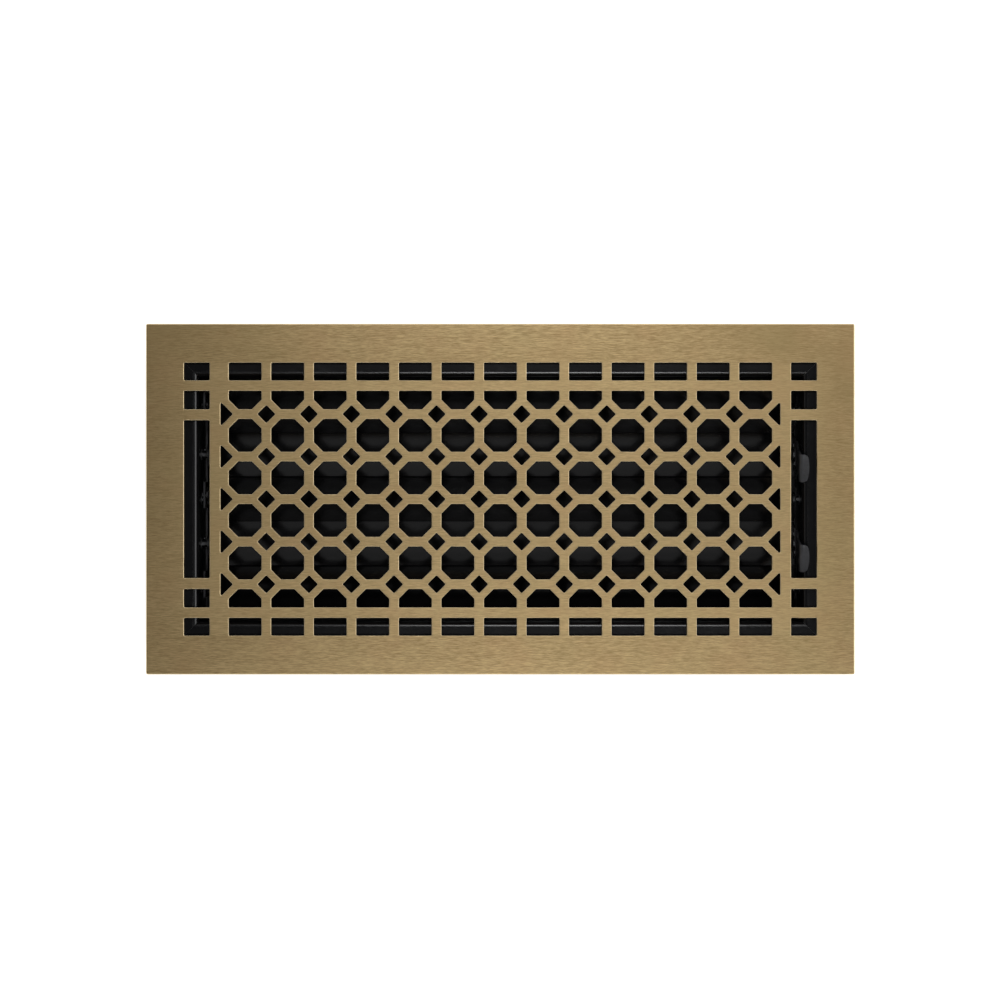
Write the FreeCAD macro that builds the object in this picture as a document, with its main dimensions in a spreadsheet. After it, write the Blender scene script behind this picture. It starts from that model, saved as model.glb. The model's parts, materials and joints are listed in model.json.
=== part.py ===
import FreeCAD, Part
import os
import re

import Sketcher

# Floor register: a pierced cast faceplate over a sheet-metal damper box with five opposed louvres.
# Origin: centre of the rim's seat plane. +Z up through the faceplate, +X along its length.

# Driving dimensions, millimetres and degrees: (alias, value, what it is).
DRIVING = (
    ("duct_length", 355.6, "floor opening, long way"),
    ("duct_width", 152.4, "floor opening, short way"),
    ("end_lap", 22.2, "faceplate past the opening at each end"),
    ("side_lap", 22.8, "faceplate past the opening at each side"),
    ("face_web", 3.2, "thickness of the pierced web"),
    ("recess_depth", 2.3, "hollow under the web, inside the rim"),
    ("rim_width", 8.0, "seat ring under the edge"),
    ("face_corner", 1.0, "corner radius in plan"),
    ("face_edge", 0.8, "rounding of the outer top edge"),
    ("end_border", 21.5, "plain border at each end"),
    ("side_border", 22.0, "plain border at each side"),
    ("slot_width", 14.5, "width of the end slots"),
    ("end_bar", 8.0, "from the end slots to the end of the octagon field"),
    ("side_bar", 7.0, "from the rectangles to the edge of the octagon field"),
    ("strip_depth", 10.0, "depth of the rectangles along each side"),
    ("column_count", 13, "octagon columns"),
    ("row_count", 5, "octagon rows, the two half rows counted as one"),
    ("cross_bar", 5.5, "bar between two octagons"),
    ("diagonal_bar", 4.1, "bar between an octagon and a diamond"),
    ("diamond_half", 5.1, "half diagonal of a diamond"),
    ("half_over", 1.1, "half octagon past its row line"),
    ("triangle_over", 1.9, "triangle past its column line"),
    ("triangle_half", 6.1, "half height of a triangle"),
    ("slot_bar", 6.2, "bar between an end slot and the next opening"),
    ("box_gap", 6.35, "damper box inside the floor opening, each side"),
    ("box_drop", 38.0, "damper box below the seat plane"),
    ("box_sheet", 0.9, "damper box sheet"),
    ("bend_radius", 3.5, "outside of the bend under the flange"),
    ("flange_gap", 2.0, "flange inside the rim"),
    ("mitre_gap", 0.1, "joint between two walls at a corner"),
    ("tab_length", 14.0, "corner tab along the side wall"),
    ("tab_top", 6.0, "top of a corner tab below the seat plane"),
    ("tab_height", 28.0, "height of a corner tab"),
    ("rivet_radius", 1.5, "corner rivet shank"),
    ("rivet_head", 2.3, "corner rivet head radius"),
    ("rivet_rise", 0.7, "corner rivet head height"),
    ("rivet_inset", 7.0, "corner rivets from the end of the box, and from the tab's ends"),
    ("screw_radius", 1.45, "flange screw shank"),
    ("screw_head", 3.0, "flange screw head radius"),
    ("screw_rise", 1.1, "flange screw head height"),
    ("screw_bite", 2.3, "flange screw length in the faceplate"),
    ("screw_line", 13.0, "flange screws out from the box wall"),
    ("side_screw_inset", 60.0, "side screws in from the box end"),
    ("end_screw_inset", 30.0, "end screws in from the box side"),
    ("blade_count", 5, "louvres"),
    ("side_gap", 6.35, "from the box side to the louvre field"),
    ("blade_sheet", 0.8, "louvre sheet"),
    ("blade_gap", 0.5, "between two closed louvres"),
    ("blade_drop", 3.6, "louvre sheet below its pivot axis"),
    ("blade_flange", 7.2, "turned-up louvre end, above the sheet's middle"),
    ("flange_nip", 0.5, "turned-up end in from the louvre's edge"),
    ("flange_slope", 6.0, "slope of the turned-up end"),
    ("closed_angle", 21.0, "slope of a closed louvre"),
    ("travel", 45.0, "turn from closed to open"),
    ("pivot_drop", 14.0, "pivot axes below the seat plane"),
    ("link_room", 4.55, "louvres to the left end wall"),
    ("end_room", 2.05, "louvres to the right end wall"),
    ("pivot_radius", 2.0, "pivot pin"),
    ("pivot_head", 3.0, "pivot pin head radius"),
    ("pivot_rise", 0.8, "pivot pin head height"),
    ("run_gap", 0.05, "radial clearance of a pin in its hole"),
    ("bush_radius", 3.2, "bush sleeve"),
    ("bush_collar", 5.0, "bush collar radius"),
    ("bush_rise", 0.8, "bush collar thickness"),
    ("bush_proud", 0.3, "bush sleeve past the wall inside"),
    ("crank_sheet", 1.0, "crank thickness"),
    ("crank_radius", 6.5, "pivot axis to crank pin"),
    ("crank_boss", 4.2, "crank round the pivot"),
    ("crank_eye", 2.8, "crank round its pin"),
    ("crank_pin", 1.2, "crank pin radius"),
    ("crank_head", 2.0, "crank pin head radius"),
    ("crank_rise", 0.7, "crank pin head height"),
    ("bar_space", 0.4, "side clearance of the drive bar"),
    ("bar_sheet", 1.0, "drive bar thickness"),
    ("bar_edge", 2.3, "drive bar left round a hole"),
    ("bar_clear", 0.6, "drive bar clear of the pivot pins"),
    ("lever_sheet", 1.2, "lever thickness"),
    ("lever_lean", 21.5, "lean of a lever when closed"),
    ("lever_radius", 22.9, "pivot axis to the top of a lever"),
    ("lever_base", 8.0, "lever round its pivot"),
    ("lever_neck", 4.6, "half width of the lever at its base"),
    ("tongue_half", 8.2, "half width of a lever's tongue"),
    ("tongue_reach", 5.6, "lever tongue outwards"),
    ("tongue_bow", 1.2, "curve of the tongue's outer edge past its corners"),
    ("tongue_corner", 1.8, "corner radius of the tongue"),
    ("slot_clear", 2.45, "slot end past a lever at its limit"),
    ("stud_radius", 1.2, "lever rivet shank"),
    ("stud_head", 1.9, "lever rivet head radius"),
    ("stud_rise", 0.4, "lever rivet head height"),
    ("stud_side", 5.6, "lever rivets to each side of the pivot"),
    ("stud_up", 0.6, "lever rivets above the pivot"),
)

# Sizes worked out from the driving ones: (alias, formula, what it is).
DERIVED = (
    ("face_x", "duct_length / 2 + end_lap", "faceplate half length"),
    ("face_y", "duct_width / 2 + side_lap", "faceplate half width"),
    ("face_top", "recess_depth + face_web", "top of the faceplate"),
    ("slot_out", "face_x - end_border", "outer side of the end slots"),
    ("slot_in", "slot_out - slot_width", "inner side of the end slots"),
    ("field_x", "slot_in - end_bar", "half length of the octagon field"),
    ("strip_out", "face_y - side_border", "outer side of the rectangles"),
    ("strip_in", "strip_out - strip_depth", "inner side of the rectangles"),
    ("field_y", "strip_in - side_bar", "half width of the octagon field"),
    ("column_pitch", "2 * field_x / column_count", "octagon columns apart"),
    ("row_pitch", "2 * field_y / row_count", "octagon rows apart"),
    ("oct_x", "(column_pitch - cross_bar) / 2", "octagon half length"),
    ("oct_y", "(row_pitch - cross_bar) / 2", "octagon half width"),
    ("oct_slope", "(column_pitch + row_pitch) / 2 - diamond_half - diagonal_bar * sqrt(2)",
     "sum of x and y along an octagon's sloping side"),
    ("box_x", "duct_length / 2 - box_gap", "box half length, outside"),
    ("box_y", "duct_width / 2 - box_gap", "box half width, outside"),
    ("inner_x", "box_x - box_sheet", "box half length, inside"),
    ("inner_y", "box_y - box_sheet", "box half width, inside"),
    ("flange_x", "face_x - rim_width - flange_gap", "end flange reach"),
    ("flange_y", "face_y - rim_width - flange_gap", "side flange reach"),
    ("blade_pitch", "2 * (box_y - side_gap) / blade_count", "pivots apart"),
    ("blade_reach", "(blade_pitch - blade_gap) / 2", "closed louvre, half its plan width"),
    ("blade_high", "(blade_reach - blade_drop * sin(closed_angle)) / cos(closed_angle)",
     "sheet to the raised edge"),
    ("blade_low", "(blade_reach + blade_drop * sin(closed_angle)) / cos(closed_angle)",
     "sheet to the lowered edge"),
    ("blade_left", "inner_x - link_room", "louvre's left end"),
    ("blade_right", "inner_x - end_room", "louvre's right end"),
    ("swing_y", "crank_radius * sin(travel / 2)", "crank pin beside its pivot at each limit"),
    ("swing_z", "crank_radius * cos(travel / 2)", "crank pin above or below its pivot at each limit"),
    ("swing_rise", "crank_radius - swing_z", "crank pin's rise from a limit to mid-travel"),
    ("bar_inner", "blade_left + crank_sheet + bar_space", "drive bar, inner side"),
    ("window_y", "pivot_radius + swing_y + bar_clear", "half width of the bar's window round a pivot"),
    ("window_z", "pivot_radius + swing_rise / 2 + bar_clear", "half height of that window"),
    ("ear_half", "window_y + bar_edge", "half width of the bar's ears"),
    ("ear_top", "swing_z + 2 * swing_rise + crank_pin + bar_edge", "top of the ears above the pivots"),
    ("strip_top", "window_z - swing_rise / 2", "top of the bar below the pivots"),
    ("strip_low", "swing_z + crank_pin + bar_edge", "bottom of the bar below the pivots"),
    ("tongue_round", "(tongue_half ^ 2 + tongue_bow ^ 2) / (2 * tongue_bow)", "radius of the tongue's outer edge"),
    ("lever_tip", "lever_radius * sin(travel - lever_lean) + tongue_half * cos(travel - lever_lean)",
     "lever's reach past its pivot at the open limit"),
    ("slot_half", "blade_pitch + lever_tip + slot_clear", "half length of the end slots"),
    ("pane_in", "slot_half + slot_bar", "inner side of the small end openings"),
    ("pane_out", "field_y + half_over", "outer side of the small end openings"),
    ("side_screw_x", "box_x - side_screw_inset", "side screws"),
    ("end_screw_y", "box_y - end_screw_inset", "end screws"),
    ("rivet_x", "box_x - rivet_inset", "corner rivets"),
    ("rivet_high", "tab_top + rivet_inset", "upper corner rivets below the seat plane"),
    ("rivet_low", "tab_top + tab_height - rivet_inset", "lower corner rivets below the seat plane"),
)

ALIASES = {row[0] for row in DRIVING + DERIVED}
LEVER_BLADES = {"rear_lever": 2, "front_lever": 4}


def make_sheet(doc):
    """Write the sizes and formulas into the sheet and give each its alias."""
    sheet = doc.addObject("Spreadsheet::Sheet", "Sizes")
    rows = [(alias, str(value), note) for alias, value, note in DRIVING]
    rows += [(alias, "=" + formula, note) for alias, formula, note in DERIVED]
    for row, (alias, content, note) in enumerate(rows, start=1):
        sheet.set(f"A{row}", note)
        sheet.set(f"B{row}", content)
        sheet.setAlias(f"B{row}", alias)
    doc.recompute()
    return sheet


def bound(formula):
    """The formula with every alias pointing at the sheet."""
    return re.sub(r"[a-z_]+", lambda m: "Sizes." + m[0] if m[0] in ALIASES else m[0], formula)


def value_of(owner, formula):
    """The formula's present value as a plain number."""
    return float(owner.Document.getObject("Sizes").evalExpression(bound(formula)))


def new_body(doc, name):
    """A body that may hold several separate solids."""
    body = doc.addObject("PartDesign::Body", name)
    body.Label = name
    body.AllowCompound = True
    return body


def datum(body, role):
    """One of the body's own origin planes or axes."""
    return next(f for f in body.Origin.OriginFeatures if f.Role == role)


def new_sketch(body, plane, start="0"):
    """A sketch on an origin plane, moved along its normal to start."""
    sketch = body.newObject("Sketcher::SketchObject", body.Name + "_sketch")
    sketch.AttachmentSupport = [(datum(body, plane), "")]
    sketch.MapMode = "FlatFace"
    sketch.setExpression(".AttachmentOffset.Base.z", bound(start))
    return sketch


def pin_point(sketch, geometry, point, place):
    """Hold a point of the geometry at a pair of formulas."""
    for kind, formula in zip(("DistanceX", "DistanceY"), place):
        value = value_of(sketch, formula)
        rule = Sketcher.Constraint(kind, -1, 1, geometry, point, value)
        index = sketch.addConstraint(rule)
        sketch.setExpression(f"Constraints[{index}]", bound(formula))


def outline(sketch, corners):
    """A closed run of straight edges through corners given as pairs of formulas."""
    points = [FreeCAD.Vector(value_of(sketch, x), value_of(sketch, y), 0) for x, y in corners]
    ends = points[1:] + points[:1]
    first = sketch.GeometryCount
    sketch.addGeometry([Part.LineSegment(a, b) for a, b in zip(points, ends)])
    last = len(corners) - 1
    for index in range(len(corners)):
        after = 0 if index == last else index + 1
        sketch.addConstraint(Sketcher.Constraint("Coincident", first + index, 2, first + after, 1))
        pin_point(sketch, first + index, 1, corners[index])


def rectangle(sketch, x_low, x_high, y_low, y_high):
    outline(sketch, ((x_low, y_low), (x_high, y_low), (x_high, y_high), (x_low, y_high)))


def circle(sketch, x, y, radius):
    """A circle whose centre and radius are formulas."""
    centre = FreeCAD.Vector(value_of(sketch, x), value_of(sketch, y), 0)
    size = value_of(sketch, radius)
    index = sketch.addGeometry(Part.Circle(centre, FreeCAD.Vector(0, 0, 1), size))
    pin_point(sketch, index, 3, (x, y))
    rule = sketch.addConstraint(Sketcher.Constraint("Radius", index, size))
    sketch.setExpression(f"Constraints[{rule}]", bound(radius))


def pad(body, sketch, length):
    """Add material along the sketch's normal."""
    feature = body.newObject("PartDesign::Pad", body.Name + "_pad")
    feature.Profile = sketch
    feature.setExpression("Length", bound(length))
    body.Tip = feature
    body.Document.recompute()
    return feature


def pocket(body, sketch, depth=None):
    """Cut along the sketch's normal to a depth, or right through both ways."""
    before = body.Shape.Volume
    feature = body.newObject("PartDesign::Pocket", body.Name + "_pocket")
    feature.Profile = sketch
    if depth is None:
        feature.Type = "ThroughAll"
        feature.Midplane = True
    else:
        feature.Reversed = True
        feature.setExpression("Length", bound(depth))
    body.Tip = feature
    body.Document.recompute()
    if body.Shape.Volume >= before:
        raise RuntimeError(f"{feature.Name} cuts nothing")
    return feature


def repeat(body, feature, axis, length, occurrences):
    """Copy a feature in a straight line along an origin axis."""
    pattern = body.newObject("PartDesign::LinearPattern", body.Name + "_pattern")
    pattern.Originals = [feature]
    pattern.Direction = (datum(body, axis), [""])
    pattern.setExpression("Length", bound(length))
    pattern.setExpression("Occurrences", bound(occurrences))
    body.Tip = pattern
    body.Document.recompute()


def mirror(body, features, plane):
    """Copy features to the other side of an origin plane."""
    copy = body.newObject("PartDesign::Mirrored", body.Name + "_mirror")
    copy.Originals = features
    copy.MirrorPlane = (datum(body, plane), [""])
    body.Tip = copy
    body.Document.recompute()


def round_edges(body, feature, radius, chosen):
    """Fillet the feature's edges that the test picks."""
    fillet = body.newObject("PartDesign::Fillet", body.Name + "_fillet")
    names = [f"Edge{n}" for n, edge in enumerate(feature.Shape.Edges, start=1) if chosen(edge)]
    fillet.Base = (feature, names)
    fillet.setExpression("Radius", bound(radius))
    body.Tip = fillet
    body.Document.recompute()
    return fillet


def discs(body, plane, start, length, radius, centres):
    """Round bars of one radius at several centres."""
    sketch = new_sketch(body, plane, start)
    for x, y in centres:
        circle(sketch, x, y, radius)
    return pad(body, sketch, length)


def drill(body, plane, start, depth, radius, centres):
    """Round holes of one radius at several centres."""
    sketch = new_sketch(body, plane, start)
    for x, y in centres:
        circle(sketch, x, y, radius)
    return pocket(body, sketch, depth)


def put(body, y="0", z="0", turn="0", sense=1):
    """Place a body that was drawn about its pivot axis and turn it about X."""
    body.Placement = FreeCAD.Placement(FreeCAD.Vector(), FreeCAD.Rotation(FreeCAD.Vector(sense, 0, 0), 1))
    body.setExpression(".Placement.Base.y", bound(y))
    body.setExpression(".Placement.Base.z", bound(z))
    body.setExpression(".Placement.Rotation.Angle", bound(turn))


def both(formula):
    """The formula and its negative."""
    return (f"-({formula})", formula)


def pivot_line(number):
    """Y of a louvre's pivot; louvre 1 is at the rear."""
    return f"blade_pitch * ((blade_count + 1) / 2 - {number})"


def blade_numbers(doc):
    return range(1, int(value_of(doc.Sizes, "blade_count")) + 1)


def opens_forward(number):
    """True for the even louvres, whose tops swing to the rear as they open."""
    return number % 2 == 0


# ---- faceplate ----

def octagon(sketch, x, y):
    """An octagon about a centre, its sloping sides at 45 degrees."""
    corners = []
    for sx, sy in ((1, 1), (-1, 1), (-1, -1), (1, -1)):
        side = (f"{x} + {sx} * oct_x", f"{y} + {sy} * (oct_slope - oct_x)")
        end = (f"{x} + {sx} * (oct_slope - oct_y)", f"{y} + {sy} * oct_y")
        corners += [side, end] if sx == sy else [end, side]
    outline(sketch, corners)


def half_octagon(sketch, x, side):
    """The inner half of an octagon in an edge row, with a flat outer side."""
    flat = f"{side} * (field_y + half_over)"
    low = f"{side} * (field_y - oct_y)"
    knee = f"{side} * (field_y - oct_slope + oct_x)"
    outline(sketch, (
        (f"{x} - oct_x", flat),
        (f"{x} - oct_x", knee),
        (f"{x} - (oct_slope - oct_y)", low),
        (f"{x} + (oct_slope - oct_y)", low),
        (f"{x} + oct_x", knee),
        (f"{x} + oct_x", flat),
    ))


def octagon_columns(body):
    """One column of octagons, half octagons and rectangles, repeated along the plate."""
    x = "-(column_count - 1) / 2 * column_pitch"
    sketch = new_sketch(body, "XY_Plane")
    rows = int(value_of(sketch, "row_count"))
    for row in range(1, rows):
        octagon(sketch, x, f"({row} - row_count / 2) * row_pitch")
    for side in (-1, 1):
        half_octagon(sketch, x, side)
        rectangle(sketch, f"{x} - oct_x", f"{x} + oct_x", f"{side} * strip_in", f"{side} * strip_out")
    column = pocket(body, sketch)
    repeat(body, column, "X_Axis", "(column_count - 1) * column_pitch", "column_count")


def diamond_columns(body):
    """One column of diamonds, repeated between the octagon columns."""
    x = "-(column_count - 2) / 2 * column_pitch"
    sketch = new_sketch(body, "XY_Plane")
    rows = int(value_of(sketch, "row_count"))
    for row in range(rows):
        y = f"({row} - (row_count - 1) / 2) * row_pitch"
        outline(sketch, (
            (f"{x} + diamond_half", y),
            (x, f"{y} + diamond_half"),
            (f"{x} - diamond_half", y),
            (x, f"{y} - diamond_half"),
        ))
    column = pocket(body, sketch)
    repeat(body, column, "X_Axis", "(column_count - 2) * column_pitch", "column_count - 1")


def triangles(sketch):
    """A half diamond with blunt corners at the end of each diamond row."""
    for row in range(int(value_of(sketch, "row_count"))):
        y = f"({row} - (row_count - 1) / 2) * row_pitch"
        shoulder = "field_x - diamond_half + triangle_half"
        outline(sketch, (
            ("field_x - diamond_half", y),
            (shoulder, f"{y} - triangle_half"),
            ("field_x + triangle_over", f"{y} - triangle_half"),
            ("field_x + triangle_over", f"{y} + triangle_half"),
            (shoulder, f"{y} + triangle_half"),
        ))


def end_openings(body):
    """The slot that the levers use, its smaller neighbours and the triangles, at both ends."""
    sketch = new_sketch(body, "XY_Plane")
    rectangle(sketch, "slot_in", "slot_out", "-slot_half", "slot_half")
    for side in (-1, 1):
        rectangle(sketch, "slot_in", "slot_out", f"{side} * pane_in", f"{side} * pane_out")
        rectangle(sketch, "slot_in", "slot_out", f"{side} * strip_in", f"{side} * strip_out")
    triangles(sketch)
    mirror(body, [pocket(body, sketch)], "YZ_Plane")


def screw_places():
    """Centres of the flange screws in plan."""
    ends = [(x, y) for x in both("box_x + screw_line") for y in both("end_screw_y")]
    sides = [(x, y) for x in both("side_screw_x") for y in both("box_y + screw_line")]
    return ends + sides


def faceplate(doc):
    """Cast plate: rim, hollow underside, openings and blind screw holes."""
    body = new_body(doc, "faceplate")
    sketch = new_sketch(body, "XY_Plane")
    rectangle(sketch, "-face_x", "face_x", "-face_y", "face_y")
    slab = pad(body, sketch, "face_top")
    upright = round_edges(body, slab, "face_corner", lambda e: e.BoundBox.ZLength > 1)
    top = value_of(body, "face_top")
    round_edges(body, upright, "face_edge", lambda e: e.BoundBox.ZMin > top - 0.01)
    hollow = new_sketch(body, "XY_Plane")
    reach_x = "face_x - rim_width"
    reach_y = "face_y - rim_width"
    rectangle(hollow, f"-({reach_x})", reach_x, f"-({reach_y})", reach_y)
    pocket(body, hollow, "recess_depth")
    drill(body, "XY_Plane", "recess_depth", "screw_bite + run_gap", "screw_radius + run_gap",
          screw_places())
    octagon_columns(body)
    diamond_columns(body)
    end_openings(body)
    return body


# ---- damper box ----

def bent_wall(doc, name, plane, side, box, inner, flange, run):
    """A leg and an outward flange with a bend between them, mitred at both ends."""
    body = new_body(doc, name)
    sketch = new_sketch(body, plane)
    outline(sketch, (
        (f"{side} * {inner}", "-box_drop"),
        (f"{side} * {box}", "-box_drop"),
        (f"{side} * {box}", "recess_depth - box_sheet"),
        (f"{side} * {flange}", "recess_depth - box_sheet"),
        (f"{side} * {flange}", "recess_depth"),
        (f"{side} * {inner}", "recess_depth"),
    ))
    slab = pad(body, sketch, f"2 * {run}")
    slab.Midplane = True
    doc.recompute()
    outer = corner_edge(body, plane, side, inner, "recess_depth")
    bend = round_edges(body, slab, "bend_radius", outer)
    hollow = corner_edge(body, plane, side, box, "recess_depth - box_sheet")
    round_edges(body, bend, "bend_radius - box_sheet", hollow)
    return body


def corner_edge(body, plane, side, across, height):
    """A test for the long edge at one corner of a wall's section."""
    place = side * value_of(body, across)
    level = value_of(body, height)

    def chosen(edge):
        box = edge.BoundBox
        width = (box.XMin, box.XMax) if plane == "XZ_Plane" else (box.YMin, box.YMax)
        return max(abs(width[0] - place), abs(width[1] - place),
                   abs(box.ZMin - level), abs(box.ZMax - level)) < 0.01

    return chosen


def mitre(body, side, low, high, offset, end_wall):
    """Cut both ends back to the diagonal through the box corners; offset is along minus across."""
    sketch = new_sketch(body, "XY_Plane")
    seam = f"{offset} - mitre_gap * sqrt(2) / 2"
    reach = f"{high} + {seam} + box_drop"
    for end in (-1, 1):
        corners = (
            (f"{end} * ({low} + {seam})", f"{side} * ({low})"),
            (f"{end} * ({reach})", f"{side} * ({low})"),
            (f"{end} * ({reach})", f"{side} * ({high})"),
            (f"{end} * ({high} + {seam})", f"{side} * ({high})"),
        )
        outline(sketch, [(across, along) if end_wall else (along, across) for along, across in corners])
    pocket(body, sketch)


def side_wall(doc, name, side):
    """Long wall of the damper box, riveted at its ends and screwed through its flange."""
    body = bent_wall(doc, name, "YZ_Plane", side, "box_y", "inner_y", "flange_y", "(flange_x + box_drop)")
    mitre(body, side, "inner_y - box_sheet", "flange_y + box_sheet", "box_x - box_y", False)
    screws = [(x, f"{side} * (box_y + screw_line)") for x in both("side_screw_x")]
    drill(body, "XY_Plane", "0", None, "screw_radius + run_gap", screws)
    holes = [(x, f"-{z}") for x in both("rivet_x") for z in ("rivet_high", "rivet_low")]
    drill(body, "XZ_Plane", "0", None, "rivet_radius + run_gap", holes)
    return body


def corner_tabs(body, side):
    """Tabs turned in at both ends of an end wall, to lie inside the side walls."""
    sketch = new_sketch(body, "XY_Plane", "-tab_top - tab_height")
    for end in (-1, 1):
        rectangle(sketch, f"{side} * (inner_x - tab_length)", f"{side} * (inner_x + box_sheet / 2)",
                  f"{end} * (inner_y - mitre_gap - box_sheet)", f"{end} * (inner_y - mitre_gap)")
    pad(body, sketch, "tab_height")
    holes = [(f"{side} * rivet_x", f"-{z}") for z in ("rivet_high", "rivet_low")]
    drill(body, "XZ_Plane", "0", None, "rivet_radius + run_gap", holes)


def end_wall(doc, name, side):
    """Short wall of the damper box, with a row of holes for the louvre bushes."""
    body = bent_wall(doc, name, "XZ_Plane", side, "box_x", "inner_x", "flange_x", "(flange_y + box_drop)")
    mitre(body, side, "inner_x - box_sheet", "flange_x + box_sheet", "box_y - box_x", True)
    corner_tabs(body, side)
    screws = [(f"{side} * (box_x + screw_line)", y) for y in both("end_screw_y")]
    drill(body, "XY_Plane", "0", None, "screw_radius + run_gap", screws)
    pivots = [(pivot_line(n), "-pivot_drop") for n in blade_numbers(doc)]
    drill(body, "YZ_Plane", "0", None, "bush_radius + run_gap", pivots)
    return body


def corner_rivets(doc):
    """Two rivets through each corner tab and side wall."""
    body = new_body(doc, "corner_rivets")
    centres = [(x, f"-{z}") for x in both("rivet_x") for z in ("rivet_high", "rivet_low")]
    inside = "inner_y - mitre_gap - box_sheet"
    outside = "-box_y"
    rear = [
        discs(body, "XZ_Plane", outside, f"box_y - ({inside})", "rivet_radius", centres),
        discs(body, "XZ_Plane", f"{outside} - rivet_rise", "rivet_rise", "rivet_head", centres),
        discs(body, "XZ_Plane", f"-({inside})", "rivet_rise", "rivet_head", centres),
    ]
    mirror(body, rear, "XZ_Plane")
    return body


def flange_screws(doc):
    """Low-headed screws up through the flanges into the faceplate."""
    body = new_body(doc, "flange_screws")
    under = "recess_depth - box_sheet"
    discs(body, "XY_Plane", under, "box_sheet + screw_bite", "screw_radius", screw_places())
    discs(body, "XY_Plane", f"{under} - screw_rise", "screw_rise", "screw_head", screw_places())
    return body


def pivot_bushes(doc, name, side):
    """Flanged bushes pushed into one end wall from outside."""
    body = new_body(doc, name)
    centres = [(pivot_line(n), "-pivot_drop") for n in blade_numbers(doc)]
    collar = "box_x" if side > 0 else "-box_x - bush_rise"
    sleeve = "inner_x - bush_proud" if side > 0 else "-box_x"
    discs(body, "YZ_Plane", collar, "bush_rise", "bush_collar", centres)
    discs(body, "YZ_Plane", sleeve, "box_sheet + bush_proud", "bush_radius", centres)
    drill(body, "YZ_Plane", "0", None, "pivot_radius + run_gap", centres)
    return body


# ---- louvres, drawn about their own pivot axes ----

def turned_end(body, start, hand):
    """Upright flange across a louvre's end, sloped off at both edges."""
    sketch = new_sketch(body, "YZ_Plane", start)
    top = "blade_flange - blade_drop"
    outline(sketch, (
        (f"{hand} * (blade_high - flange_nip)", "-blade_drop"),
        (f"{hand} * (blade_high - flange_nip - flange_slope / 2)", top),
        (f"-{hand} * (blade_low - flange_nip - flange_slope)", top),
        (f"-{hand} * (blade_low - flange_nip)", "-blade_drop"),
    ))
    pad(body, sketch, "blade_sheet")


def louvre(doc, number):
    """Blade with turned-up ends that hang it from its pivot pins."""
    hand = -1 if opens_forward(number) else 1
    body = new_body(doc, f"louvre_{number}")
    sketch = new_sketch(body, "YZ_Plane", "-blade_left")
    rectangle(sketch, f"-{hand} * blade_low", f"{hand} * blade_high",
              "-blade_drop - blade_sheet / 2", "-blade_drop + blade_sheet / 2")
    pad(body, sketch, "blade_left + blade_right")
    turned_end(body, "-blade_left", hand)
    turned_end(body, "blade_right - blade_sheet", hand)
    drill(body, "YZ_Plane", "0", None, "pivot_radius + run_gap", [("0", "0")])
    if number in LEVER_BLADES.values():
        studs = [(y, "stud_up") for y in both("stud_side")]
        drill(body, "YZ_Plane", "blade_right - blade_sheet", "blade_sheet", "stud_radius + run_gap", studs)
    put(body, pivot_line(number), "-pivot_drop", "closed_angle", hand)
    return body


def pivot_pins(doc, number):
    """A headed pin at each end of a louvre."""
    body = new_body(doc, f"pivot_pins_{number}")
    axis = [("0", "0")]
    tip = "box_x + bush_rise / 2"
    discs(body, "YZ_Plane", f"-({tip})", f"{tip} - blade_left + blade_sheet", "pivot_radius", axis)
    discs(body, "YZ_Plane", "-blade_left + blade_sheet", "pivot_rise", "pivot_head", axis)
    discs(body, "YZ_Plane", "blade_right - blade_sheet", f"{tip} - blade_right + blade_sheet",
          "pivot_radius", axis)
    discs(body, "YZ_Plane", "blade_right - blade_sheet - pivot_rise", "pivot_rise", "pivot_head", axis)
    put(body, pivot_line(number), "-pivot_drop")
    return body


# ---- linkage at the left end, drawn about the pivot axes at mid-travel ----

def crank_side(number):
    """Cranks hang down on the even louvres and stand up on the odd ones."""
    return -1 if opens_forward(number) else 1


def crank(doc, number):
    """Flat arm fixed to the louvre's left end."""
    side = crank_side(number)
    body = new_body(doc, f"crank_{number}")
    inner = "-blade_left - crank_sheet"
    eye = f"{side} * crank_radius"
    discs(body, "YZ_Plane", inner, "crank_sheet", "crank_boss", [("0", "0")])
    discs(body, "YZ_Plane", inner, "crank_sheet", "crank_eye", [("0", eye)])
    sketch = new_sketch(body, "YZ_Plane", inner)
    rectangle(sketch, "-crank_eye", "crank_eye", "0", eye)
    pad(body, sketch, "crank_sheet")
    drill(body, "YZ_Plane", "0", None, "pivot_radius + run_gap", [("0", "0")])
    drill(body, "YZ_Plane", "0", None, "crank_pin + run_gap", [("0", eye)])
    put(body, pivot_line(number), "-pivot_drop", "travel / 2", -side)
    return body


def crank_pin(doc, number):
    """Headed pin from a crank through the drive bar."""
    side = crank_side(number)
    body = new_body(doc, f"crank_pin_{number}")
    eye = [("0", f"{side} * crank_radius")]
    neck = "bar_inner + bar_sheet + bar_space"
    discs(body, "YZ_Plane", f"-({neck})", f"{neck} - blade_left", "crank_pin", eye)
    discs(body, "YZ_Plane", f"-({neck} + crank_rise)", "crank_rise", "crank_head", eye)
    put(body, pivot_line(number), "-pivot_drop", "travel / 2", -side)
    return body


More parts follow.
